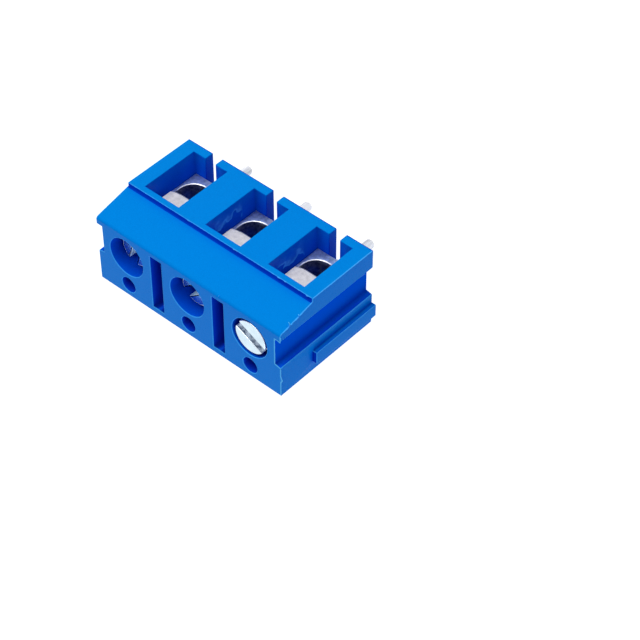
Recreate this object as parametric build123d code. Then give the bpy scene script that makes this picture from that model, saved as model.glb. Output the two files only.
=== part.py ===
import os
from build123d import *

os.makedirs("parts", exist_ok=True)

# Row and outline of the housing, in millimetres
pitch = 7.62
poles = 3
end_relief = 0.26
height = 12.35
back_wall = 1.05
pin_setback = 4.4
corner_round = 0.15
crest_round = 0.35

# Wire entry of each pole
entry_width = 4.24
board_wall = 1.04
entry_height = 6.4
hook_room = 0.2

# Front of the housing: upright band, small step, leaning face up to the screw side
band_over_entry = 0.68
step_back = 0.4
lean_back = 1.36

# Screw side: driver bores, test probe bores and slots between the poles
bore_inset = 0.02
driver_setback = 4.2
probe_bore = 1.7
probe_from_back = 1.42
gap_slot_width = 1.4
gap_slot_margin = 0.67
gap_slot_back_wall = 0.7
slot_web = 1.25

# Board side: pin slots, slots between the poles and ejector marks
pin_slot_width = 1.24
pin_slot_past = 0.9
pin_slot_round = 0.3
under_slot_width = 1.5
under_slot_front = 1.2
under_slot_depth = 6.2
ejector_mark = 3.5
ejector_from_back = 2.15
ejector_depth = 0.06

# Ends: front lip, groove, and the rib and slot that join housings in a row
lip_width = 2.17
groove_depth = 0.68
groove_width = 3.35
groove_ramp = 0.16
rib_from_back = 1.15
rib_width = 1.4
rib_height = 0.5
rib_fit = 0.08
rib_end_room = 0.1

# Clamp block of each pole
block_side_fit = 0.05
block_top_fit = 0.1
block_setback = 2.65
block_depth = 4.95
block_floor = 0.81
block_wall = 0.42
block_roof = 2.39
wire_hole_bevel = 0.1
roof_back_bevel = 0.32
block_edge = 0.15
thread_wall = 0.57
thread_fit = 0.05

# Wire guard of each pole: a bent strip through the block under the screw
guard_sheet = 0.25
guard_side_fit = 0.07
guard_bend = 0.25
flap_setback = 2.1
flap_rise = 2.25
tongue_drop = 0.47
hook_rise = 1.4
guard_corner = 0.3

# Clamp screw of each pole
head_fit = 0.325
head_height = 1.5
head_edge = 0.08
tip_gap = 0.1
tip_edge = 0.4
driver_slot_width = 0.85
driver_slot_depth = 0.95
raised_screw_sink = 0.1
screw_drop = 1.15
slot_turn_one = -26.6
slot_turn_two = 40.0
slot_turn_three = 72.0

# Solder pin of each pole
pin_width = 1.0
pin_length = 4.2
pin_tip_round = 0.35
pin_slot_fit = 0.05

# Sizes that follow from the ones above
length = poles * pitch - end_relief
entry_top = board_wall + entry_height
band_top = entry_top + band_over_entry
entry_run = block_setback + block_depth + guard_sheet + hook_room
depth = entry_run + back_wall
gap_slot_depth = height - under_slot_depth - slot_web
driver_bore = entry_width - 2 * bore_inset
head_width = driver_bore - 2 * head_fit
pin_root_width = pin_slot_width - 2 * pin_slot_fit
rib_top = band_top
sunk_screw_sink = raised_screw_sink + screw_drop

# Levels and setbacks turned into places in the frame
front = -pin_setback
back = front + depth
half_length = length / 2
first_pole = -pitch * (poles - 1) / 2
driver_y = front + driver_setback
block_base = board_wall
block_top = entry_top - block_top_fit
block_width = entry_width - 2 * block_side_fit
wire_hole_width = block_width - 2 * block_wall
screw_hole = block_width - 2 * thread_wall
shank_width = screw_hole - 2 * thread_fit
block_front = front + block_setback
block_back = block_front + block_depth
hole_floor = block_base + block_floor
hole_roof = block_top - block_roof
tongue_top = hole_roof - tongue_drop
screw_length = height - sunk_screw_sink - tongue_top - tip_gap
over = 1.0


def slab(x_low, x_high, y_low, y_high, z_low, z_high):
    size = Box(x_high - x_low, y_high - y_low, z_high - z_low)
    return Pos((x_low + x_high) / 2, (y_low + y_high) / 2, (z_low + z_high) / 2) * size


def rod(x, y, z_low, z_high, width):
    return Pos(x, y, (z_low + z_high) / 2) * Cylinder(width / 2, z_high - z_low)


def pole_x(number):
    return first_pole + pitch * number


def end_groove(side):
    lip_y = front + lip_width
    ramp_top_y = lip_y + groove_width
    ramp_foot_y = ramp_top_y - groove_ramp
    outer_x = side * (half_length + over)
    face_x = side * half_length
    floor_x = side * (half_length - groove_depth)
    outline = Polyline(
        (outer_x, lip_y),
        (floor_x, lip_y),
        (floor_x, ramp_foot_y),
        (face_x, ramp_top_y),
        (outer_x, ramp_top_y),
        close=True,
    )
    return Pos(0, 0, -over) * extrude(make_face(outline), height + 2 * over, dir=(0, 0, 1))


def make_housing():
    outline = Polyline(
        (front, 0),
        (front, band_top),
        (front + step_back, band_top),
        (front + lean_back, height),
        (back, height),
        (back, 0),
        close=True,
    )
    section = Plane.YZ.offset(-half_length) * make_face(outline)
    body = extrude(section, length, dir=(1, 0, 0))
    long_edges = body.edges().filter_by(Axis.X)
    step_lines = long_edges.filter_by_position(Axis.Z, band_top, band_top)
    crest_y = front + lean_back
    crest = long_edges.filter_by_position(Axis.Y, crest_y, crest_y)
    body = fillet(long_edges - step_lines - crest, corner_round)
    long_edges = body.edges().filter_by(Axis.X)
    body = fillet(long_edges.filter_by_position(Axis.Y, crest_y, crest_y), crest_round)

    # Lip and groove on both ends, rib on one end and its slot on the other
    body = body - end_groove(1)
    body = body - end_groove(-1)
    rib_high = back - rib_from_back
    rib_low = rib_high - rib_width
    rib_inner = -half_length + rib_height
    body = body + slab(-half_length - rib_height, rib_inner, rib_low, rib_high, 0, rib_top)
    slot_floor = half_length - rib_height - rib_fit
    slot_low = rib_low - rib_fit
    slot_high = rib_high + rib_fit
    slot_top = rib_top + rib_end_room
    body = body - slab(slot_floor, half_length + over, slot_low, slot_high, -over, slot_top)

    # Wire entry, driver bore, probe bore, pin slot and ejector mark of each pole
    for number in range(poles):
        x = pole_x(number)
        entry_low = x - entry_width / 2
        entry_high = x + entry_width / 2
        body = body - slab(entry_low, entry_high, front - over, front + entry_run, board_wall, entry_top)
        body = body - rod(x, driver_y, entry_top - over, height + over, driver_bore)
        body = body - rod(x, back - probe_from_back, entry_top, height + over, probe_bore)
        notch_low = x - pin_slot_width / 2
        notch_high = x + pin_slot_width / 2
        notch = slab(notch_low, notch_high, front - over, pin_slot_past, -over, board_wall + over / 2)
        notch_end = notch.edges().filter_by(Axis.Z).group_by(Axis.Y)[-1]
        body = body - fillet(notch_end, pin_slot_round)
        body = body - rod(x, back - ejector_from_back, -over, ejector_depth, ejector_mark)

    # Slots between neighbouring poles, from the screw side and from the board side
    for number in range(poles - 1):
        x = pole_x(number) + pitch / 2
        half_gap = gap_slot_width / 2
        half_under = under_slot_width / 2
        gap_front = front + lean_back + gap_slot_margin
        gap_back = back - gap_slot_back_wall
        gap_floor = height - gap_slot_depth
        body = body - slab(x - half_gap, x + half_gap, gap_front, gap_back, gap_floor, height + over)
        under_front = front + under_slot_front
        under_gap = slab(x - half_under, x + half_under, under_front, back + over, -over, under_slot_depth)
        body = body - under_gap
    return body


def make_block(number):
    x = pole_x(number)
    half_block = block_width / 2
    body = slab(x - half_block, x + half_block, block_front, block_back, block_base, block_top)
    upright = body.edges().filter_by(Axis.Z)
    body = chamfer(upright, block_edge)

    # Wire hole with a half-round floor, opened right through from front to back
    half_hole = wire_hole_width / 2
    hole_middle = hole_floor + half_hole
    mouth_y = block_front - over
    exit_y = block_back + over
    hole = slab(x - half_hole, x + half_hole, mouth_y, exit_y, hole_middle, hole_roof)
    lower = slab(x - half_hole, x + half_hole, mouth_y, exit_y, hole_floor, hole_middle)
    run = Cylinder(half_hole, exit_y - mouth_y)
    round_run = Pos(x, (mouth_y + exit_y) / 2, hole_middle) * Rot(90, 0, 0) * run
    body = body - (hole + (lower & round_run))
    mouth = body.faces().filter_by(Axis.Y).sort_by(Axis.Y)[0].inner_wires()[0].edges()
    roof_line = mouth.group_by(Axis.Z)[-1]
    body = chamfer(mouth - roof_line, wire_hole_bevel)
    exit_edges = body.faces().filter_by(Axis.Y).sort_by(Axis.Y)[-1].inner_wires()[0].edges()
    body = chamfer(exit_edges.group_by(Axis.Z)[-1], roof_back_bevel)

    # Screw hole from above and pin hole from below
    body = body - rod(x, driver_y, hole_roof - over / 2, block_top + over, screw_hole)
    half_root = pin_root_width / 2
    root_top = hole_floor + over / 2
    body = body - slab(x - half_root, x + half_root, -half_root, half_root, block_base - over, root_top)
    return body


def make_guard(number):
    x = pole_x(number)
    half_sheet = guard_sheet / 2
    tongue_level = tongue_top - half_sheet
    hook_y = block_back + half_sheet
    flap_y = front + flap_setback + half_sheet
    path = FilletPolyline(
        (flap_y, tongue_level + flap_rise),
        (flap_y, tongue_level),
        (hook_y, tongue_level),
        (hook_y, tongue_level + hook_rise),
        radius=guard_bend,
    )
    strip_width = wire_hole_width - 2 * guard_side_fit
    strip = trace(path, guard_sheet)
    body = extrude(Plane.YZ.offset(x - strip_width / 2) * strip, strip_width, dir=(1, 0, 0))
    tip_edges = body.edges().filter_by(lambda e: abs(e.length - guard_sheet) < 0.01)
    body = fillet(tip_edges.group_by(Axis.Y)[0] + tip_edges.group_by(Axis.Y)[1], guard_corner)
    return body


def make_screw(number, sink, slot_turn):
    x = pole_x(number)
    head_top = height - sink
    head_base = head_top - head_height
    tip = head_top - screw_length
    head = rod(x, driver_y, head_base, head_top, head_width)
    head = chamfer(head.edges().group_by(Axis.Z)[-1], head_edge)
    shank = rod(x, driver_y, tip, head_base, shank_width)
    shank = chamfer(shank.edges().group_by(Axis.Z)[0], tip_edge)
    body = head + shank
    cut = Box(head_width + over, driver_slot_width, driver_slot_depth + over)
    cut_level = head_top - driver_slot_depth + (driver_slot_depth + over) / 2
    body = body - Pos(x, driver_y, cut_level) * Rot(0, 0, slot_turn) * cut
    return body


def make_pin(number):
    x = pole_x(number)
    shank = rod(x, 0, -pin_length, 0, pin_width)
    shank = fillet(shank.edges().group_by(Axis.Z)[0], pin_tip_round)
    half_root = pin_root_width / 2
    return shank + slab(x - half_root, x + half_root, -half_root, half_root, 0, hole_floor)


housing = make_housing()
export_step(housing, "parts/housing.step")

for number in range(poles):
    tag = str(number + 1)
    export_step(make_block(number), "parts/clamp_block_" + tag + ".step")
    export_step(make_guard(number), "parts/wire_guard_" + tag + ".step")
    export_step(make_pin(number), "parts/solder_pin_" + tag + ".step")

export_step(make_screw(0, raised_screw_sink, slot_turn_one), "parts/clamp_screw_1.step")
export_step(make_screw(1, sunk_screw_sink, slot_turn_two), "parts/clamp_screw_2.step")
export_step(make_screw(2, sunk_screw_sink, slot_turn_three), "parts/clamp_screw_3.step")
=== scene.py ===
import math

import bmesh
import bpy
from mathutils import Matrix, Vector
from mathutils import noise as hum


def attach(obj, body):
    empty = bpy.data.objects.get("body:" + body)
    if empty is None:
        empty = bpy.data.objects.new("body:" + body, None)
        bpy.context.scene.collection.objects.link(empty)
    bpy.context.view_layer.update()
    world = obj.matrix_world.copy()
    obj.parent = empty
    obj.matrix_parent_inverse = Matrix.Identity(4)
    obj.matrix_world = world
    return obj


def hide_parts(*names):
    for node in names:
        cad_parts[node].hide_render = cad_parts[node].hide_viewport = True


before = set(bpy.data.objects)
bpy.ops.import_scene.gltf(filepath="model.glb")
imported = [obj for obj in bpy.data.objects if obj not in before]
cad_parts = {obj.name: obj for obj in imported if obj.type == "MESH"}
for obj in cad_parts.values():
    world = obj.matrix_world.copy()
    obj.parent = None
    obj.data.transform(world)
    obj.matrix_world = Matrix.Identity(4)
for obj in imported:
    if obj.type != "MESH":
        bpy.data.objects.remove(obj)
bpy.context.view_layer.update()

# Lengths are in millimetres, as in the solids, and become metres by MM
MM = 0.001
WELD = 0.0005 * MM
# Faces are sorted by their middles, within TOUCH, and by normals over FACING
TOUCH = 0.02
FACING = 0.9
SHARP_ANGLE = 40.0

# Housing
POLES = 3
PITCH = 7.62
FRONT = -4.4
BACK = 4.7
HALF_LENGTH = 11.3
HEIGHT = 12.35
PIN_LENGTH = 4.2
BAND_TOP = 8.12
STEP_BACK = 0.4
LIP_Y = -2.23
GROOVE_Y = 1.12
GROOVE_DEPTH = 0.68
CREST_Y = -3.04
GROOVE_RAMP = 0.16
SHADE_WIDTH = 0.16
END_ZONE = 0.8
EDGE_ROUND = 0.07
EDGE_ANGLE = 25.0
DRIVER_BORE = 4.2
ENTRY_WIDTH = 4.24
ENTRY_TOP = 7.44
BOARD_WALL = 1.04

# Clamp blocks
BLOCK_FRONT = -1.75
WIRE_HOLE = 3.3
HOLE_FLOOR = 1.85
HOLE_ROOF = 4.95

# Wire guards: corners are (y, z) on the middle of the sheet, settle lifts or lowers each pole's tongue
GUARD_CORNERS = [(-2.175, 6.605), (-2.175, 4.355), (3.325, 4.355), (3.325, 5.755)]
GUARD_SETTLE = (-0.18, 0.04, 0.07)
GUARD_BEND = 0.25
GUARD_SHEET = 0.25
GUARD_WIDTH = 3.16
GUARD_CORNER = 0.3
FLAP_RUN = 2.1
TONGUE_BOW = 0.3
BOW_LEAD = 0.35
BOW_RUN = 0.4
GUARD_HOLE = 2.5
GUARD_COLUMNS = 12
BEND_STEPS = 8
PATH_STEP = 0.12

# Clamp screws: one nearly flush, two sunk, each with its slot turned another way
DRIVER_Y = -0.2
HEAD_WIDTH = 3.55
HEAD_HEIGHT = 1.5
DRIVER_SLOT = 0.85
DRIVER_SLOT_DEPTH = 0.95
SCREW_LENGTH = 6.52
SHANK_WIDTH = 2.9
THREAD_PITCH = 0.5
THREAD_DEPTH = 0.22
POINT_WIDTH = 2.1
POINT_LENGTH = 2.1
POINT_EDGE = 0.25
RAISED_SINK = 0.1
SUNK_SINK = 1.25
HEAD_EDGE = 0.08
SUNK_HEAD_EDGE = 0.16
HEAD_EDGE_ANGLE = 30.0
HEAD_STEPS = 41
SLOT_STEPS = 9
THREAD_COLUMNS = 40
THREAD_LEVELS = 10
THREAD_CREST = 1.25
HEAD_SOCKET = 0.1
SLOT_TURNS = (-26.6, 40.0, 72.0)

# Flash: a fin is a thin sheet with its root under the edge, a bead is a thin whisker
FIN_STEP = 0.1
FIN_SINK = 0.004
FIN_ROOT = 0.07
FIN_LENGTH = 0.14
FIN_SHEET = 0.05
FIN_EDGE = 0.03
BEAD_STEP = 0.12
BEAD_SIDES = 6
BEAD_WOBBLE = 0.02
SPECK = 0.055

# Material slots of the housing: body, painted edge highlight, painted recess shade, entry walls with
# lighter painted shade, painted sheen, painted bore shade and painted shade
BODY, EDGE_HIGHLIGHT, RECESS_SHADE, ENTRY, PAINTED_SHEEN, BORE_SHADE, SHADE = range(7)

# Camera: its axes in the frame, its place and its lens, fitted to the photograph
CAMERA_RIGHT = (-0.749442, -0.002256, -0.662067)
CAMERA_UP = (0.476890, -0.695497, -0.537458)
CAMERA_BACK = (-0.459253, -0.718526, 0.522310)
CAMERA_PLACE = (-97.0139, -135.1246, 104.6288)
CAMERA_LENS = 119.38
SENSOR_WIDTH = 36.0


def pole_x(number):
    return PITCH * (number - (POLES + 1) / 2)


# Node helpers

def new_material(name):
    mat = bpy.data.materials.new(name)
    mat.use_nodes = True
    tree = mat.node_tree
    tree.nodes.clear()
    out = tree.nodes.new("ShaderNodeOutputMaterial")
    shader = tree.nodes.new("ShaderNodeBsdfPrincipled")
    tree.links.new(shader.outputs["BSDF"], out.inputs["Surface"])
    return mat, tree, shader


def noise(tree, coords, scale, detail, rough):
    node = tree.nodes.new("ShaderNodeTexNoise")
    node.inputs["Scale"].default_value = scale
    node.inputs["Detail"].default_value = detail
    node.inputs["Roughness"].default_value = rough
    tree.links.new(coords, node.inputs["Vector"])
    return node.outputs["Fac"]


def ramp(tree, value, stops):
    node = tree.nodes.new("ShaderNodeValToRGB")
    elements = node.color_ramp.elements
    while len(elements) < len(stops):
        elements.new(0.5)
    for element, (place, colour) in zip(elements, stops):
        element.position = place
        element.color = (*colour, 1.0)
    tree.links.new(value, node.inputs["Fac"])
    return node.outputs["Color"]


def spread(tree, value, low, high, from_low=0.0, from_high=1.0):
    node = tree.nodes.new("ShaderNodeMapRange")
    node.inputs["From Min"].default_value = from_low
    node.inputs["From Max"].default_value = from_high
    node.inputs["To Min"].default_value = low
    node.inputs["To Max"].default_value = high
    tree.links.new(value, node.inputs["Value"])
    return node.outputs["Result"]


def stretched(tree, scale):
    coords = tree.nodes.new("ShaderNodeTexCoord")
    mapping = tree.nodes.new("ShaderNodeMapping")
    mapping.inputs["Scale"].default_value = scale
    tree.links.new(coords.outputs["Object"], mapping.inputs["Vector"])
    return mapping.outputs["Vector"]


def bump(tree, height, strength, distance):
    node = tree.nodes.new("ShaderNodeBump")
    node.inputs["Strength"].default_value = strength
    node.inputs["Distance"].default_value = distance
    tree.links.new(height, node.inputs["Height"])
    return node.outputs["Normal"]


def openness(tree, distance):
    """1 on open surfaces, falling to 0 in recesses that are narrow beside the distance; the mask for
    painted shade.
    """
    node = tree.nodes.new("ShaderNodeAmbientOcclusion")
    node.samples = 8
    node.inputs["Distance"].default_value = distance
    return node.outputs["AO"]


def blended(tree, factor, dark, light):
    node = tree.nodes.new("ShaderNodeMix")
    node.data_type = "RGBA"
    tree.links.new(factor, node.inputs["Factor"])
    tree.links.new(dark, node.inputs["A"])
    tree.links.new(light, node.inputs["B"])
    return node.outputs["Result"]


# Materials: noise scales are per metre

CLOUD_SCALE = 11000.0
GRAIN_SCALE = 9000.0
WAVE_SCALE = 1400.0
WAVE_DEPTH = 0.00002
# How far the painted shade of recesses reaches, in millimetres
HOLLOW_REACH = 5.0
PLASTIC_ROUGH = (0.22, 0.36)
# The painted sheen on entry walls: its scale, waver, depth from the front and the levels it runs between
SHEEN_SCALE = 650.0
SHEEN_WAVER = 1.1
SHEEN_DEPTH = 2.2
SHEEN_FROM = 2.6
SHEEN_TO = 6.4


def plastic(name, deepest_shade, deep_shade, low, high, shine=0.035, sheen_colour=None):
    """Moulded plastic: two close tones in a fine cloud, with painted shade that darkens it in recesses, and
    a faint grain and wave.
    """
    mat, tree, shader = new_material(name)
    coords = tree.nodes.new("ShaderNodeTexCoord").outputs["Object"]
    cloud = spread(tree, noise(tree, coords, CLOUD_SCALE, 1.0, 0.5), 0.0, 1.0, 0.25, 0.75)
    open_share = openness(tree, HOLLOW_REACH * MM)
    # Painted shade: ambient occlusion ramps both tones down to the two darker colours in recesses
    dark = ramp(tree, open_share, [(0.08, deepest_shade), (0.45, deep_shade), (0.95, low)])
    light = ramp(tree, open_share, [(0.08, deepest_shade), (0.45, deep_shade), (0.95, high)])
    colour = blended(tree, cloud, dark, light)
    # Painted sheen: a pale band of reflection laid over the wall colour
    if sheen_colour:
        pale = ramp(tree, cloud, [(0.0, sheen_colour), (1.0, sheen_colour)])
        colour = blended(tree, painted_sheen_band(tree, coords), colour, pale)
    tree.links.new(colour, shader.inputs["Base Color"])
    grain = noise(tree, coords, GRAIN_SCALE, 2.0, 0.6)
    tree.links.new(spread(tree, grain, *PLASTIC_ROUGH), shader.inputs["Roughness"])
    wave = noise(tree, coords, WAVE_SCALE, 2.0, 0.5)
    tree.links.new(bump(tree, wave, 0.12, WAVE_DEPTH), shader.inputs["Normal"])
    shader.inputs["IOR"].default_value = 1.5
    shader.inputs["Specular IOR Level"].default_value = shine
    shader.inputs["Specular Tint"].default_value = (0.1, 0.5, 1.0, 1.0)
    return mat


def painted_sheen_band(tree, coords):
    """A painted sheen: a pale wavering band of reflection down the wall of an entry, sharp behind and
    fading towards the front.
    """
    parts = tree.nodes.new("ShaderNodeSeparateXYZ")
    tree.links.new(coords, parts.inputs["Vector"])
    drift = noise(tree, coords, SHEEN_SCALE, 2.0, 0.6)
    waver = spread(tree, drift, -SHEEN_WAVER * MM, SHEEN_WAVER * MM, 0.25, 0.75)
    shifted = tree.nodes.new("ShaderNodeMath")
    shifted.operation = "ADD"
    tree.links.new(parts.outputs["Y"], shifted.inputs[0])
    tree.links.new(waver, shifted.inputs[1])
    depth = spread(tree, shifted.outputs["Value"], 0.0, 1.0, FRONT * MM, (FRONT + SHEEN_DEPTH) * MM)
    black, white = (0.0, 0.0, 0.0), (1.0, 1.0, 1.0)
    band = ramp(tree, depth, [(0.1, black), (0.5, (0.2, 0.2, 0.2)), (0.72, white), (0.8, black)])
    height = spread(tree, parts.outputs["Z"], 0.0, 1.0, SHEEN_FROM * MM, SHEEN_TO * MM)
    ends = ramp(tree, height, [(0.0, black), (0.1, white), (0.85, white), (1.0, black)])
    both = tree.nodes.new("ShaderNodeMath")
    both.operation = "MULTIPLY"
    tree.links.new(band, both.inputs[0])
    tree.links.new(ends, both.inputs[1])
    return both.outputs["Value"]


def metal(name, dark, light, rough, patch_scale, streak_scale, depth, shine=1.0):
    """Plated metal: two tones in patches, and streaks that change the roughness and the bump."""
    mat, tree, shader = new_material(name)
    patch = noise(tree, stretched(tree, patch_scale), 1.0, 4.0, 0.6)
    tree.links.new(ramp(tree, patch, [(0.32, dark), (0.68, light)]), shader.inputs["Base Color"])
    streak = noise(tree, stretched(tree, streak_scale), 1.0, 3.0, 0.6)
    tree.links.new(spread(tree, streak, rough[0], rough[1], 0.3, 0.7), shader.inputs["Roughness"])
    tree.links.new(bump(tree, streak, 0.3, depth), shader.inputs["Normal"])
    shader.inputs["Metallic"].default_value = shine
    return mat


def even(scale):
    return (scale, scale, scale)


blue = plastic(
    "blue_moulding",
    (0.0, 0.02, 0.42), (0.0, 0.06, 0.72), (0.0, 0.25, 0.76), (0.0, 0.29, 0.825),
)
# Painted highlight: a lighter blue for the rounded edges at the ends and screw side, and for some flash
blue_edge_highlight = plastic(
    "blue_moulding_edge_highlight",
    (0.0, 0.12, 0.6), (0.02, 0.32, 0.9), (0.05, 0.43, 0.97), (0.08, 0.49, 1.0),
)
# Painted shade: a darker blue for the end grooves and for the rounds at the back and along the board edge
blue_recess_shade = plastic(
    "blue_moulding_recess_shade",
    (0.0, 0.02, 0.5), (0.0, 0.04, 0.7), (0.0, 0.135, 0.8), (0.0, 0.155, 0.84), shine=0.0,
)
# Painted highlight: a much lighter blue for the flash
blue_flash_highlight = plastic(
    "blue_moulding_flash_highlight",
    (0.05, 0.45, 0.95), (0.08, 0.55, 1.0), (0.12, 0.62, 1.0), (0.16, 0.68, 1.0),
)
# The entry walls: nearly the body's blue, with lighter painted shade in their recesses
entry_blues = ((0.0, 0.04, 0.5), (0.0, 0.11, 0.8), (0.0, 0.255, 0.79), (0.0, 0.275, 0.84))
blue_entry = plastic("blue_moulding_entry", *entry_blues, shine=0.02)
# The entry blue with a painted sheen, for the walls on the +X side of the first two poles' entries
blue_painted_sheen = plastic("blue_moulding_painted_sheen", *entry_blues, shine=0.02, sheen_colour=(0.06, 0.36, 1.0))
# Painted shade: a darker blue for the walls of the driver bores
blue_bore_shade = plastic(
    "blue_moulding_bore_shade",
    (0.0, 0.025, 0.40), (0.0, 0.095, 0.68), (0.0, 0.2, 0.74), (0.0, 0.23, 0.78), shine=0.02,
)
blue_shade = plastic(
    "blue_moulding_shade",
    (0.0, 0.015, 0.3), (0.0, 0.03, 0.45), (0.0, 0.055, 0.58), (0.0, 0.065, 0.62), shine=0.0,
)
# Plated metal, grey as plated, with a bluish tint that is a painted reflection of the blue housing
plate = metal(
    "plated_block", (0.24, 0.33, 0.52), (0.50, 0.61, 0.90), (0.4, 0.62),
    even(3000.0), even(5000.0), 0.00001, 0.6,
)
# Painted highlight: bright metal for the front rim of the wire hole
rim_highlight = metal(
    "block_hole_rim_highlight", (0.66, 0.68, 0.74), (0.95, 0.95, 0.97), (0.3, 0.5),
    even(1500.0), even(2500.0), 0.000004,
)
# Painted shade and painted blue reflection: dark bluish metal for the wire hole's wall
hole_wall_shade = metal(
    "block_hole_wall_shade", (0.2, 0.25, 0.45), (0.6, 0.64, 0.82), (0.3, 0.5),
    even(2600.0), even(2500.0), 0.000006,
)
strip = metal(
    "bright_strip", (0.68, 0.63, 0.60), (0.92, 0.86, 0.82), (0.5, 0.7),
    even(2200.0), (5000.0, 900.0, 900.0), 0.000012, 0.2,
)
# Painted shade: dark metal for the faces of the strip that turn downwards, on the bends and under the
# tongue
strip_bend_shade = metal(
    "strip_bend_painted_shade", (0.12, 0.14, 0.22), (0.26, 0.29, 0.40), (0.5, 0.7),
    even(1800.0), even(2500.0), 0.000006, 0.2,
)
zinc = metal(
    "zinc_screw", (0.42, 0.49, 0.53), (0.49, 0.56, 0.60), (0.06, 0.14),
    even(1500.0), even(1800.0), 0.0000005, 0.95,
)
# Painted highlight: light metal for the rounded edges of the raised screw's head
zinc_edge_highlight = metal(
    "zinc_screw_edge_highlight", (0.70, 0.80, 0.88), (0.85, 0.92, 0.98), (0.2, 0.35),
    even(1500.0), even(1800.0), 0.000002, 0.7,
)
cut = metal(
    "zinc_screw_cut", (0.08, 0.11, 0.18), (0.85, 0.92, 0.98), (0.25, 0.45),
    even(2200.0), (500.0, 500.0, 6000.0), 0.00001,
)
# Painted reflection: the sunk screws' metal tinted blue as if reflecting the bore walls
sunk_zinc = metal(
    "sunk_screw", (0.26, 0.60, 0.86), (0.38, 0.74, 0.95), (0.2, 0.3),
    even(900.0), even(1800.0), 0.0000002, 0.95,
)
# Painted glint: near-white metal for the rounded edges and slot of the sunk screws
sunk_glint = metal(
    "sunk_screw_painted_glint", (0.74, 0.94, 1.0), (0.84, 1.0, 1.0), (0.55, 0.7),
    even(900.0), even(1800.0), 0.000001,
)
tin = metal(
    "tinned_pin", (0.48, 0.48, 0.49), (0.94, 0.93, 0.92), (0.16, 0.36),
    (1300.0, 1300.0, 90.0), (6000.0, 6000.0, 300.0), 0.000008, 0.85,
)


# Pieces

def dress(node, mat):
    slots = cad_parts[node].data.materials
    slots.clear()
    slots.append(mat)


def add_piece(name, grid, body, mats, nodes):
    mesh = bpy.data.meshes.new(name)
    for mat in mats:
        mesh.materials.append(mat)
    grid.to_mesh(mesh)
    grid.free()
    piece = bpy.data.objects.new(name, mesh)
    bpy.context.scene.collection.objects.link(piece)
    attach(piece, body)
    if nodes:
        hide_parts(*nodes)
    return piece


def flat_faces(piece):
    flat = piece.modifiers.new("flat_faces", "WEIGHTED_NORMAL")
    flat.keep_sharp = False
    flat.weight = 100


def solid_copy(node):
    """A node's mesh as a new grid, with the seams inside its flat faces dissolved."""
    grid = bmesh.new()
    grid.from_mesh(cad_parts[node].data)
    bmesh.ops.remove_doubles(grid, verts=grid.verts, dist=WELD)
    bmesh.ops.dissolve_limit(grid, angle_limit=0.01, verts=grid.verts, edges=grid.edges)
    bmesh.ops.recalc_face_normals(grid, faces=grid.faces)
    for face in grid.faces:
        face.material_index = 0
        face.smooth = True
    return grid


def round_outer_edges(grid, width, limit):
    """Rounds the outward edges sharper than limit degrees; the rounds take material slot 1."""
    outer = []
    for edge in grid.edges:
        if len(edge.link_faces) == 2 and edge.calc_face_angle_signed() > math.radians(limit):
            outer.append(edge)
    bmesh.ops.bevel(
        grid, geom=outer, offset=width * MM, offset_type="OFFSET", segments=2,
        profile=0.5, affect="EDGES", clamp_overlap=False, material=1, loop_slide=True,
    )


def split_lean(grid):
    """Cuts a narrow strip off the lean face beside the ledge, for the shade in that corner."""
    for face in list(grid.faces):
        foot = min(vert.co.z for vert in face.verts) / MM
        middle = face.calc_center_median() / MM
        if face.normal.y < -FACING and abs(foot - BAND_TOP) < 0.05 and middle.z > BAND_TOP + 0.5:
            geometry = [face] + list(face.edges) + list(face.verts)
            level = Vector((0.0, 0.0, (BAND_TOP + SHADE_WIDTH) * MM))
            bmesh.ops.bisect_plane(grid, geom=geometry, plane_co=level, plane_no=(0.0, 0.0, 1.0))
            return


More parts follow.
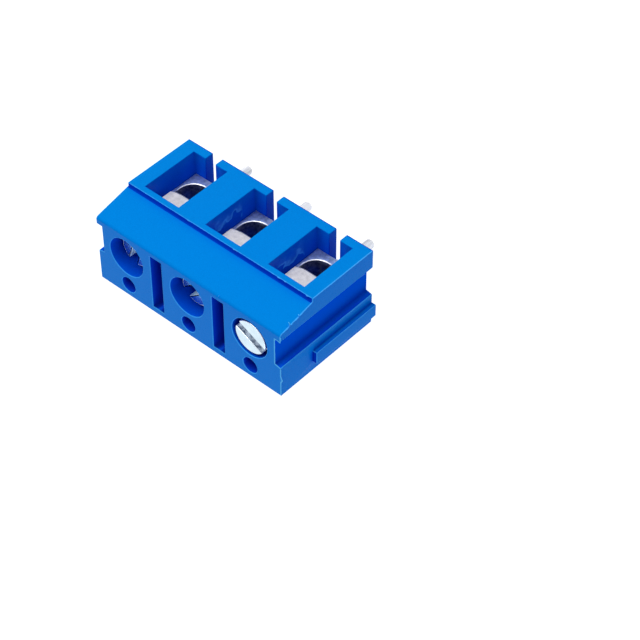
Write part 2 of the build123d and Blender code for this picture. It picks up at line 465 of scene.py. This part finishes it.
def make_housing():
    """The housing with its outer edges rounded over, and a tone for each kind of wall and recess: a painted
    highlight on the rounds at the ends and screw side, painted shade in the grooves, on the rounds at the
    back and board edge, on the ledge, the strip above it, the rib end and in the driver bores, lighter
    painted shade in the entries and a painted sheen on some entry walls.
    """
    grid = solid_copy("housing")
    split_lean(grid)
    round_outer_edges(grid, EDGE_ROUND, EDGE_ANGLE)
    for face in grid.faces:
        middle = face.calc_center_median() / MM
        at_end = abs(middle.x) > HALF_LENGTH - END_ZONE
        at_back = middle.y > BACK - 0.1
        at_screw_side = middle.z > HEIGHT - 0.2
        behind_end = abs(middle.x) < HALF_LENGTH - 0.1
        in_groove = at_end and behind_end and LIP_Y - TOUCH < middle.y < GROOVE_Y + TOUCH
        on_ledge = abs(middle.z - BAND_TOP) < TOUCH and middle.y < FRONT + STEP_BACK
        on_strip = BAND_TOP < middle.z < BAND_TOP + SHADE_WIDTH and face.normal.y < -FACING
        number = min(range(1, POLES + 1), key=lambda pole: abs(middle.x - pole_x(pole)))
        aside = middle.x - pole_x(number)
        entry_level = BOARD_WALL - 0.01 < middle.z < ENTRY_TOP + 0.01
        in_entry = entry_level and abs(aside) < ENTRY_WIDTH / 2 + 0.01 and middle.y > FRONT + 0.1
        # Walls on the +X side of the first two entries take the painted sheen
        painted_sheen_wall = number < POLES and face.normal.x < -FACING and aside > ENTRY_WIDTH / 2 - 0.1
        rib_end = middle.x < -HALF_LENGTH - 0.1 and face.normal.z > FACING
        board_edge = face.normal.z < -0.05 and middle.y < FRONT + 0.2
        in_pin_slot = abs(face.normal.x) > FACING and middle.z < BOARD_WALL and abs(aside) < ENTRY_WIDTH / 2
        in_bore = math.hypot(aside, middle.y - DRIVER_Y) < DRIVER_BORE / 2 + TOUCH and middle.z > BAND_TOP
        # Rounds at the ends and screw side take the painted highlight, rounds at the back and board edge
        # painted shade; flat faces get painted shade by where they sit
        if face.material_index == EDGE_HIGHLIGHT:
            bright = at_end or at_screw_side
            face.material_index = RECESS_SHADE if at_back or board_edge else EDGE_HIGHLIGHT if bright else BODY
        elif in_groove:
            face.material_index = RECESS_SHADE
        elif on_ledge or on_strip or rib_end or board_edge:
            face.material_index = SHADE
        elif in_pin_slot or in_entry:
            face.material_index = PAINTED_SHEEN if painted_sheen_wall else ENTRY
        elif in_bore:
            face.material_index = BORE_SHADE
    mats = [blue, blue_edge_highlight, blue_recess_shade, blue_entry, blue_painted_sheen, blue_bore_shade, blue_shade]
    flat_faces(add_piece("housing_moulding", grid, "terminal", mats, ["housing"]))


def make_block(number):
    """The clamp block, with a painted highlight on the rim of its wire hole, and painted shade tinted blue
    as a painted reflection on the hole's wall.
    """
    x = pole_x(number)
    grid = solid_copy(f"clamp_block_{number}")
    for face in grid.faces:
        middle = face.calc_center_median() / MM
        across = abs(middle.x - x)
        inside = across < WIRE_HOLE / 2 + TOUCH and HOLE_FLOOR - TOUCH < middle.z < HOLE_ROOF + TOUCH
        if middle.y < BLOCK_FRONT + 0.12 and -0.95 < face.normal.y < -0.2:
            face.material_index = 1 if across < WIRE_HOLE / 2 + 0.12 else 0
        elif inside and abs(face.normal.y) < FACING:
            face.material_index = 2
    mats = [plate, rim_highlight, hole_wall_shade]
    nodes = [f"clamp_block_{number}"]
    piece = add_piece(f"clamp_block_body_{number}", grid, "terminal", mats, nodes)
    flat_faces(piece)


def guard_path():
    """Points along the strip in (y, z) with the way it faces there: flap, bend, tongue, bend, hook."""
    corners = [Vector(point) for point in GUARD_CORNERS]
    points = []
    for index, corner in enumerate(corners):
        if index in (0, len(corners) - 1):
            other = corners[1] if index == 0 else corners[-2]
            along = (other - corner) if index == 0 else (corner - other)
            points.append((corner, along.normalized()))
            continue
        ahead = (corners[index + 1] - corner).normalized()
        behind = (corner - corners[index - 1]).normalized()
        turn = behind.angle_signed(ahead)
        reach = GUARD_BEND * math.tan(abs(turn) / 2)
        start = corner - behind * reach
        side = Vector((-behind.y, behind.x)) * (-1 if turn > 0 else 1)
        centre = start + side * GUARD_BEND
        for step in range(BEND_STEPS + 1):
            swing = -turn * step / BEND_STEPS
            spoke = start - centre
            turned = Vector((
                spoke.x * math.cos(swing) - spoke.y * math.sin(swing),
                spoke.x * math.sin(swing) + spoke.y * math.cos(swing),
            ))
            facing = Vector((
                behind.x * math.cos(swing) - behind.y * math.sin(swing),
                behind.x * math.sin(swing) + behind.y * math.cos(swing),
            ))
            points.append((centre + turned, facing))
    dense = []
    for (spot, along), (next_spot, next_along) in zip(points, points[1:]):
        count = max(1, int((next_spot - spot).length / PATH_STEP))
        for step in range(count):
            share = step / count
            dense.append((spot.lerp(next_spot, share), along.lerp(next_along, share).normalized()))
    dense.append(points[-1])
    return dense


def guard_rows(grid, number):
    """Rows of points along the strip: the gap for the hole, then points by side, hand and column."""
    x = pole_x(number)
    path = guard_path()
    rows = []
    run = 0.0
    for index, (spot, along) in enumerate(path):
        if index:
            run += (spot - path[index - 1][0]).length
        half = GUARD_WIDTH / 2
        if run < GUARD_CORNER:
            half -= GUARD_CORNER - math.sqrt(GUARD_CORNER ** 2 - (GUARD_CORNER - run) ** 2)
        settle = GUARD_SETTLE[number - 1] * max(0.0, min(1.0, run / FLAP_RUN))
        bow = TONGUE_BOW * max(0.0, min(1.0, (run - FLAP_RUN + BOW_LEAD) / BOW_RUN))
        gap = math.sqrt(max(0.0, (GUARD_HOLE / 2) ** 2 - (spot.x - DRIVER_Y) ** 2))
        reaches = [gap + (half - gap) * column / GUARD_COLUMNS for column in range(GUARD_COLUMNS + 1)]
        sides = []
        for side in (1, -1):
            offset = Vector((along.y, -along.x)) * side * GUARD_SHEET / 2
            halves = []
            for hand in (1, -1):
                line = []
                for reach in reaches:
                    rise = bow * (reach / half) ** 4 + settle
                    place = Vector((x + hand * reach, spot.x + offset.x, spot.y + offset.y + rise))
                    line.append(grid.verts.new(place * MM))
                halves.append(line)
            sides.append(halves)
        rows.append((gap, sides))
    return rows


def make_guard(number):
    """The bent strip as a closed skin, round at its free corners, with a hole for the screw point, and
    painted shade on its faces that turn downwards.
    """
    grid = bmesh.new()
    rows = guard_rows(grid, number)
    for (gap, sides), (next_gap, next_sides) in zip(rows, rows[1:]):
        for hand in (0, 1):
            for side in (0, 1):
                line, after = sides[side][hand], next_sides[side][hand]
                for column in range(GUARD_COLUMNS):
                    grid.faces.new((line[column], line[column + 1], after[column + 1], after[column]))
            columns = [GUARD_COLUMNS, 0] if gap or next_gap else [GUARD_COLUMNS]
            for column in columns:
                above, below = [sides[side][hand][column] for side in (0, 1)]
                next_above, next_below = [next_sides[side][hand][column] for side in (0, 1)]
                grid.faces.new((above, below, next_below, next_above))
    for gap, sides in (rows[0], rows[-1]):
        for hand in (0, 1):
            upper, lower = sides[0][hand], sides[1][hand]
            for column in range(GUARD_COLUMNS):
                grid.faces.new((upper[column], upper[column + 1], lower[column + 1], lower[column]))
    bmesh.ops.remove_doubles(grid, verts=grid.verts, dist=WELD)
    bmesh.ops.recalc_face_normals(grid, faces=grid.faces)
    for face in grid.faces:
        face.smooth = True
        # Faces turning downwards take the painted shade of slot 1
        face.material_index = 1 if face.normal.z < -0.3 else 0
    sharp_edges(grid, SHARP_ANGLE)
    mats = [strip, strip_bend_shade]
    add_piece(f"wire_guard_strip_{number}", grid, "terminal", mats, [f"wire_guard_{number}"])


def sharp_edges(grid, limit):
    for edge in grid.edges:
        if len(edge.link_faces) == 2:
            edge.smooth = edge.calc_face_angle() < math.radians(limit)


def make_screw(number, top, turn, mats, edge):
    """A screw with a slotted head, its edges broken, a cut thread and a plain point."""
    x = pole_x(number)
    grid = bmesh.new()
    base = top - HEAD_HEIGHT
    floor = top - DRIVER_SLOT_DEPTH
    radius = HEAD_WIDTH / 2
    corner = math.asin(DRIVER_SLOT / 2 / radius)
    angle = math.radians(turn)

    def point(swing, level):
        bearing = swing + angle
        place = (x + radius * math.cos(bearing), DRIVER_Y + radius * math.sin(bearing), level)
        return grid.verts.new(Vector(place) * MM)

    def arc(start, stop, count):
        return [start + (stop - start) * step / (count - 1) for step in range(count)]

    upper = arc(corner, math.pi - corner, HEAD_STEPS)
    left = arc(math.pi - corner, math.pi + corner, SLOT_STEPS)[1:-1]
    lower = arc(math.pi + corner, 2 * math.pi - corner, HEAD_STEPS)
    right = arc(-corner, corner, SLOT_STEPS)[1:-1]
    swings = upper + left + lower + right
    low_ring = [point(swing, base) for swing in swings]
    mid_ring = [point(swing, floor) for swing in swings]
    for index in range(len(swings)):
        after = (index + 1) % len(swings)
        grid.faces.new((low_ring[index], low_ring[after], mid_ring[after], mid_ring[index]))
    grid.faces.new(list(reversed(low_ring)))
    for start, count in ((0, len(upper)), (len(upper) + len(left), len(lower))):
        foot = mid_ring[start:start + count]
        crown = [point(swing, top) for swing in swings[start:start + count]]
        for index in range(count - 1):
            grid.faces.new((foot[index], foot[index + 1], crown[index + 1], crown[index]))
        grid.faces.new(crown)
        wall = grid.faces.new((foot[-1], foot[0], crown[0], crown[-1]))
        wall.material_index = 2
    lower_start = len(upper) + len(left)
    lower_stop = lower_start + len(lower)
    slot_floor = mid_ring[len(upper) - 1:lower_start + 1] + mid_ring[lower_stop - 1:] + [mid_ring[0]]
    bed = grid.faces.new(slot_floor)
    bed.material_index = 2
    bmesh.ops.recalc_face_normals(grid, faces=grid.faces)
    round_outer_edges(grid, edge, HEAD_EDGE_ANGLE)
    cut_thread(grid, x, top - SCREW_LENGTH, base + HEAD_SOCKET)
    for face in grid.faces:
        face.smooth = True
    nodes = [f"clamp_screw_{number}"]
    piece = add_piece(f"clamp_screw_cut_{number}", grid, f"screw_{number}", mats, nodes)
    flat_faces(piece)


def cut_thread(grid, x, tip, top):
    """A closed rod with a plain point at the tip and above it a helical thread of THREAD_PITCH."""
    levels = int((top - tip) / THREAD_PITCH * THREAD_LEVELS)
    rings = []
    for level in range(levels + 1):
        z = tip + (top - tip) * level / levels
        ring = []
        for column in range(THREAD_COLUMNS):
            bearing = 2 * math.pi * column / THREAD_COLUMNS
            phase = (z / THREAD_PITCH - column / THREAD_COLUMNS) % 1.0
            ridge = 1.0 - abs(2.0 * phase - 1.0)
            reach = SHANK_WIDTH / 2 - THREAD_DEPTH * (1.0 - min(1.0, THREAD_CREST * ridge))
            reach = min(reach, POINT_WIDTH / 2 + max(0.0, z - tip - POINT_LENGTH))
            reach = min(reach, POINT_WIDTH / 2 - POINT_EDGE + (z - tip))
            place = (x + reach * math.cos(bearing), DRIVER_Y + reach * math.sin(bearing), z)
            ring.append(grid.verts.new(Vector(place) * MM))
        rings.append(ring)
    for ring, following in zip(rings, rings[1:]):
        for index in range(THREAD_COLUMNS):
            after = (index + 1) % THREAD_COLUMNS
            grid.faces.new((ring[index], ring[after], following[after], following[index]))
    grid.faces.new(list(reversed(rings[0])))
    grid.faces.new(rings[-1])


def bead(grid, points, radius, seed):
    """A thin uneven bead of flash along a line, closed at both ends."""
    spots = []
    for start, stop in zip(points, points[1:]):
        first, last = Vector(start), Vector(stop)
        count = max(2, int((last - first).length / BEAD_STEP))
        for step in range(count):
            spots.append((first.lerp(last, step / count), (last - first).normalized()))
    spots.append((Vector(points[-1]), spots[-1][1]))
    rings = []
    for index, (spot, along) in enumerate(spots):
        side = along.cross(Vector((0.3, 0.5, 0.8))).normalized()
        other = along.cross(side)
        sway = BEAD_WOBBLE * hum.noise(Vector((index * 0.31, seed, 0.0)))
        girth = radius * (0.75 + 0.5 * hum.noise(Vector((index * 0.47, seed, 7.0))))
        centre = spot + Vector((sway, sway * abs(along.z), sway * abs(along.y)))
        ring = []
        for corner in range(BEAD_SIDES):
            bearing = 2 * math.pi * corner / BEAD_SIDES
            reach = side * math.cos(bearing) + other * math.sin(bearing)
            ring.append(grid.verts.new((centre + reach * girth) * MM))
        rings.append(ring)
    for ring, following in zip(rings, rings[1:]):
        for index in range(BEAD_SIDES):
            after = (index + 1) % BEAD_SIDES
            grid.faces.new((ring[index], ring[after], following[after], following[index]))
    grid.faces.new(list(reversed(rings[0])))
    grid.faces.new(rings[-1])


def fin(grid, start, stop, outward, facing, width, lumps, seed, shade=1):
    """A thin uneven fin of flash along an edge; a lump is (place along the edge, size, spread), and shade
    picks the material slot: 0 for the painted edge highlight, 1 for the stronger painted flash highlight.
    """
    first, last = Vector(start), Vector(stop)
    out, up = Vector(outward), Vector(facing)
    length = (last - first).length
    count = max(3, int(length / FIN_STEP))
    rings = []
    for step in range(count + 1):
        run = length * step / count
        spot = first.lerp(last, step / count) - up * FIN_SINK
        reach = width * (0.5 + abs(hum.noise(Vector((run * 2.3, seed, 0.0)))))
        for place, size, breadth in lumps:
            reach += size * math.exp(-((run - place) / breadth) ** 2)
        root = spot + out * max(-FIN_ROOT, reach - FIN_LENGTH)
        brink = spot + out * reach
        corners = (root, root - up * FIN_SHEET, brink - up * FIN_EDGE, brink)
        rings.append([grid.verts.new(corner * MM) for corner in corners])
    skin = [grid.faces.new(list(reversed(rings[0]))), grid.faces.new(rings[-1])]
    for ring, following in zip(rings, rings[1:]):
        for index in range(4):
            after = (index + 1) % 4
            skin.append(grid.faces.new((ring[index], ring[after], following[after], following[index])))
    for face in skin:
        face.material_index = shade


def lean_y(z):
    """Where the leaning face of the front is at level z."""
    return FRONT + STEP_BACK + (z - BAND_TOP) * (CREST_Y - FRONT - STEP_BACK) / (HEIGHT - BAND_TOP)


def make_flash():
    """Moulding flash on the edges of the near end and along the brow, two whiskers and two specks."""
    grid = bmesh.new()
    end = -HALF_LENGTH
    groove = -HALF_LENGTH + GROOVE_DEPTH
    sill = GROOVE_Y - GROOVE_RAMP
    out, top = (-1.0, 0.0, 0.0), (0.0, 0.0, 1.0)
    ahead = (0.0, -1.0, 0.0)
    lumps = [(1.42, 0.19, 0.28)]
    fin(grid, (end, GROOVE_Y, HEIGHT), (end, BACK - 0.08, HEIGHT), out, top, 0.05, lumps, 1.0)
    fin(grid, (groove, LIP_Y, HEIGHT), (groove, sill, HEIGHT), out, top, 0.05, [(0.1, 0.06, 0.15)], 2.0)
    slope = Vector((end - groove, GROOVE_Y - sill, 0.0)).normalized()
    aside = (-slope.y, slope.x, 0.0)
    fin(grid, (groove, sill, HEIGHT), (end, GROOVE_Y, HEIGHT), aside, top, 0.05, [], 3.0)
    behind = (0.0, 1.0, 0.0)
    fin(grid, (groove, LIP_Y, HEIGHT), (end, LIP_Y, HEIGHT), behind, top, 0.06, [(0.6, 0.08, 0.1)], 4.0)
    fin(grid, (end, CREST_Y + 0.2, HEIGHT), (end, LIP_Y, HEIGHT), out, top, 0.04, [(0.1, 0.06, 0.12)], 5.0)
    lean = Vector((0.0, BAND_TOP - HEIGHT, CREST_Y - FRONT - STEP_BACK)).normalized()
    high, low = HEIGHT - 0.4, BAND_TOP + 0.1
    lumps = [(0.5, 0.05, 0.1), (1.7, 0.05, 0.1)]
    fin(grid, (end, lean_y(high), high), (end, lean_y(low), low), out, lean, 0.05, lumps, 6.0, 0)
    fin(grid, (end, FRONT, BAND_TOP - 0.07), (end, FRONT, 0.2), out, ahead, 0.04, [], 7.0, 0)
    lumps = [(3.9, 0.1, 0.1), (3.1, 0.08, 0.1), (0.5, 0.1, 0.15), (9.2, 0.07, 0.12), (14.8, 0.06, 0.15)]
    brow = BAND_TOP - 0.05
    fin(grid, (end + 0.1, FRONT, brow), (HALF_LENGTH - 0.1, FRONT, brow), top, ahead, 0.06, lumps, 8.0, 0)
    whisker = [(end + 0.03, lean_y(11.1), 11.1), (end - 0.02, -3.62, 11.12), (end, -3.85, 11.2)]
    bead(grid, whisker, 0.07, 20.0)
    bead(grid, [(end + 0.03, lean_y(9.9), 9.9), (end, -3.85, 9.95)], 0.06, 21.0)
    # Flash standing out in front of the lean face takes the stronger painted highlight of slot 1
    for face in grid.faces:
        spots = [vert.co / MM for vert in face.verts]
        if all(spot.z > BAND_TOP and spot.y < lean_y(spot.z) - 0.06 for spot in spots):
            face.material_index = 1
    for spot in ((-4.01, CREST_Y + 0.03, HEIGHT - 0.07), (-7.31, FRONT + 0.06, BAND_TOP - 0.04)):
        place = Matrix.Translation(Vector(spot) * MM)
        bmesh.ops.create_icosphere(grid, subdivisions=2, radius=SPECK * MM, matrix=place)
    for face in grid.faces:
        face.smooth = True
    bmesh.ops.recalc_face_normals(grid, faces=grid.faces)
    sharp_edges(grid, SHARP_ANGLE)
    add_piece("housing_flash", grid, "terminal", [blue_edge_highlight, blue_flash_highlight], [])


make_housing()
make_flash()
for number in range(1, POLES + 1):
    make_block(number)
    make_guard(number)
    dress(f"solder_pin_{number}", tin)
make_screw(1, HEIGHT - RAISED_SINK, SLOT_TURNS[0], [zinc, zinc_edge_highlight, cut], HEAD_EDGE)
# Sunk screws: painted blue reflection on the head, painted glint on its rounds and slot
for number in (2, 3):
    mats = [sunk_zinc, sunk_glint, sunk_glint]
    make_screw(number, HEIGHT - SUNK_SINK, SLOT_TURNS[number - 1], mats, SUNK_HEAD_EDGE)


# Stage, light and camera, in metres

FLOOR_REACH = 1.2
FLOOR_GLOW = 0.9
LAMP_DISTANCE = 0.4
LAMP_AIM = (0.0, 0.0, 0.005)


def background_rays(tree):
    """1 for rays that show the background itself: from the camera, off metal or through glass."""
    path = tree.nodes.new("ShaderNodeLightPath")
    value = path.outputs["Is Camera Ray"]
    for kind in ("Is Glossy Ray", "Is Transmission Ray"):
        larger = tree.nodes.new("ShaderNodeMath")
        larger.operation = "MAXIMUM"
        tree.links.new(value, larger.inputs[0])
        tree.links.new(path.outputs[kind], larger.inputs[1])
        value = larger.outputs["Value"]
    return value


def make_floor():
    """A pale matt floor that glows white where it is the background, and keeps the object's shadow."""
    mesh = bpy.data.meshes.new("floor")
    corners = [(x * FLOOR_REACH, y * FLOOR_REACH, 0.0) for x, y in ((-1, -1), (1, -1), (1, 1), (-1, 1))]
    mesh.from_pydata(corners, [], [(0, 1, 2, 3)])
    floor = bpy.data.objects.new("floor", mesh)
    floor.location = (0, 0, -PIN_LENGTH * MM)
    bpy.context.scene.collection.objects.link(floor)
    mat = bpy.data.materials.new("pale_floor")
    mat.use_nodes = True
    tree = mat.node_tree
    tree.nodes.clear()
    out = tree.nodes.new("ShaderNodeOutputMaterial")
    matt = tree.nodes.new("ShaderNodeBsdfDiffuse")
    matt.inputs["Color"].default_value = (0.55, 0.55, 0.55, 1.0)
    glow = tree.nodes.new("ShaderNodeEmission")
    add = tree.nodes.new("ShaderNodeAddShader")
    seen = tree.nodes.new("ShaderNodeMath")
    seen.operation = "MULTIPLY"
    seen.inputs[1].default_value = FLOOR_GLOW
    tree.links.new(background_rays(tree), seen.inputs[0])
    tree.links.new(seen.outputs["Value"], glow.inputs["Strength"])
    tree.links.new(matt.outputs["BSDF"], add.inputs[0])
    tree.links.new(glow.outputs["Emission"], add.inputs[1])
    tree.links.new(add.outputs["Shader"], out.inputs["Surface"])
    mesh.materials.append(mat)


def panel(name, direction, size, level, colour):
    """A square lamp that stands off in a direction and faces the object."""
    data = bpy.data.lights.new(name, "AREA")
    data.shape = "SQUARE"
    data.size = size
    data.energy = math.pi ** 2 * LAMP_DISTANCE ** 2 * level
    data.color = colour
    lamp = bpy.data.objects.new(name, data)
    away = Vector(direction).normalized()
    aim = Vector(LAMP_AIM)
    lamp.location = aim + away * LAMP_DISTANCE
    lamp.rotation_euler = away.to_track_quat("Z", "Y").to_euler()
    bpy.context.scene.collection.objects.link(lamp)


def make_light():
    world = bpy.data.worlds.new("soft_room")
    world.use_nodes = True
    tree = world.node_tree
    shade = tree.nodes["Background"]
    shade.inputs["Color"].default_value = (0.46, 0.65, 1.0, 1.0)
    shade.inputs["Strength"].default_value = 0.41
    backdrop = tree.nodes.new("ShaderNodeBackground")
    backdrop.inputs["Color"].default_value = (1.0, 1.0, 1.0, 1.0)
    backdrop.inputs["Strength"].default_value = 1.0
    mixed = tree.nodes.new("ShaderNodeMixShader")
    tree.links.new(background_rays(tree), mixed.inputs["Fac"])
    tree.links.new(shade.outputs["Background"], mixed.inputs[1])
    tree.links.new(backdrop.outputs["Background"], mixed.inputs[2])
    tree.links.new(mixed.outputs["Shader"], tree.nodes["World Output"].inputs["Surface"])
    bpy.context.scene.world = world
    panel("key", (0.1, -0.95, 0.26), 0.3, 0.76, (1.0, 1.0, 0.95))
    panel("side", (-0.6, 0.75, 0.28), 0.2, 0.40, (0.5, 0.7, 1.0))
    panel("rear", (0.456, 0.717, 0.527), 0.25, 0.095, (0.76, 0.9, 1.0))


def make_camera():
    data = bpy.data.cameras.new("photo_view")
    data.sensor_fit = "HORIZONTAL"
    data.sensor_width = SENSOR_WIDTH
    data.lens = CAMERA_LENS
    data.clip_start = 0.01
    data.clip_end = 10.0
    camera = bpy.data.objects.new("photo_view", data)
    axes = [Vector(axis) for axis in (CAMERA_RIGHT, CAMERA_UP, CAMERA_BACK)]
    turn = Matrix(axes).transposed()
    place = Vector(CAMERA_PLACE) * MM
    camera.matrix_world = Matrix.Translation(place) @ turn.to_4x4()
    bpy.context.scene.collection.objects.link(camera)
    bpy.context.scene.camera = camera


make_floor()
make_light()
make_camera()
bpy.context.scene.view_settings.view_transform = "Standard"
